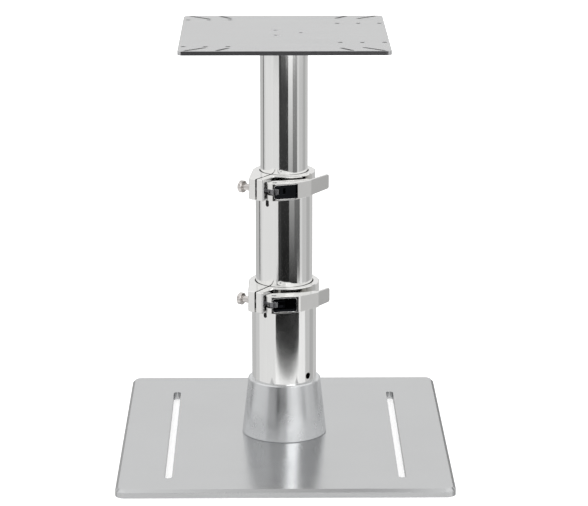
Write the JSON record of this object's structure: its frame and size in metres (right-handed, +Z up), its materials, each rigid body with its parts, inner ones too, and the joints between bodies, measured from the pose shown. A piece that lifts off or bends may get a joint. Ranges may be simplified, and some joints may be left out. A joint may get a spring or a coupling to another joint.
{
  "type": "telescopic table pedestal",
  "caption": "Free-standing telescopic table pedestal: a slotted floor plate with a conical socket, nested tubes locked by quick-release cam clamps, and a drilled square table plate on top.",
  "frame": {"origin": "centre of the floor plate's underside, on the axis of the column", "axes": "+Z up along the column, +X to the right, -Y to the front, the side of the shorter slot margin"},
  "size_m": [0.4, 0.44, 0.5125],
  "materials": {
    "plate_aluminium": "satin anodised",
    "table_aluminium": "satin anodised",
    "cone_aluminium": "fine turned, satin",
    "tube_aluminium": "bright polished and anodised",
    "clamp_chrome": "mirror polished",
    "bolt_steel": "bright machined",
    "nut_steel": "polished",
    "screw_steel": "bright",
    "saddle_steel": "ground",
    "bush_plastic": "moulded"
  },
  "bodies": {
    "base": {"base_plate": "plate_aluminium", "base_cone": "cone_aluminium", "cone_screws": "screw_steel", "outer_tube": "tube_aluminium", "lower_bush": "bush_plastic", "lower_clamp_ring": "clamp_chrome", "lower_cam_saddle": "saddle_steel"},
    "middle_guide": {"middle_guide_ring": "bush_plastic"},
    "middle": {"middle_tube": "tube_aluminium", "upper_bush": "bush_plastic", "upper_clamp_ring": "clamp_chrome", "upper_cam_saddle": "saddle_steel"},
    "inner_guide": {"inner_guide_ring": "bush_plastic"},
    "head": {"inner_tube": "tube_aluminium", "head_plug": "cone_aluminium", "table_plate": "table_aluminium", "table_screws": "screw_steel"},
    "lower_bolt": {"lower_tension_bolt": "bolt_steel", "lower_cam_pin": "bolt_steel"},
    "lower_lever": {"lower_cam_lever": "clamp_chrome"},
    "lower_nut": {"lower_adjusting_nut": "nut_steel"},
    "upper_bolt": {"upper_tension_bolt": "bolt_steel", "upper_cam_pin": "bolt_steel"},
    "upper_lever": {"upper_cam_lever": "clamp_chrome"},
    "upper_nut": {"upper_adjusting_nut": "nut_steel"}
  },
  "joints": [
    {"name": "middle_slide", "type": "slide", "parent": "base", "child": "middle_guide", "axis": [0, 0, 1], "range_m": [-0.112, 0.013]},
    {"name": "middle_swivel", "type": "hinge", "parent": "middle_guide", "child": "middle", "pos_m": [0, 0, 0.13], "axis": [0, 0, 1], "continuous": true},
    {"name": "inner_slide", "type": "slide", "parent": "middle", "child": "inner_guide", "axis": [0, 0, 1], "range_m": [-0.16, 0]},
    {"name": "inner_swivel", "type": "hinge", "parent": "inner_guide", "child": "head", "pos_m": [0, 0, 0.29], "axis": [0, 0, 1], "continuous": true},
    {"name": "lower_bolt_slide", "type": "slide", "parent": "base", "child": "lower_bolt", "axis": [-0.848, 0.5299, 0], "range_m": [-0.00005, 0.0014]},
    {"name": "lower_lever_hinge", "type": "hinge", "parent": "lower_bolt", "child": "lower_lever", "pos_m": [-0.01273, -0.06303, 0.1915], "axis": [0, 0, -1], "range_deg": [0, 130]},
    {"name": "lower_nut_turn", "type": "hinge", "parent": "lower_bolt", "child": "lower_nut", "pos_m": [-0.05225, -0.03833, 0.1915], "axis": [0.848, -0.5299, 0], "continuous": true},
    {"name": "upper_bolt_slide", "type": "slide", "parent": "middle", "child": "upper_bolt", "axis": [-0.8339, 0.5519, 0], "range_m": [-0.00005, 0.0014]},
    {"name": "upper_lever_hinge", "type": "hinge", "parent": "upper_bolt", "child": "upper_lever", "pos_m": [-0.01162, -0.0585, 0.3305], "axis": [0, 0, -1], "range_deg": [0, 130]},
    {"name": "upper_nut_turn", "type": "hinge", "parent": "upper_bolt", "child": "upper_nut", "pos_m": [-0.05048, -0.03278, 0.3305], "axis": [0.8339, -0.5519, 0], "continuous": true}
  ],
  "couplings": [
    {"joint": "lower_bolt_slide", "follows": "lower_lever_hinge", "m_per_rad": 0.0005792},
    {"joint": "upper_bolt_slide", "follows": "upper_lever_hinge", "m_per_rad": 0.0005792}
  ]
}
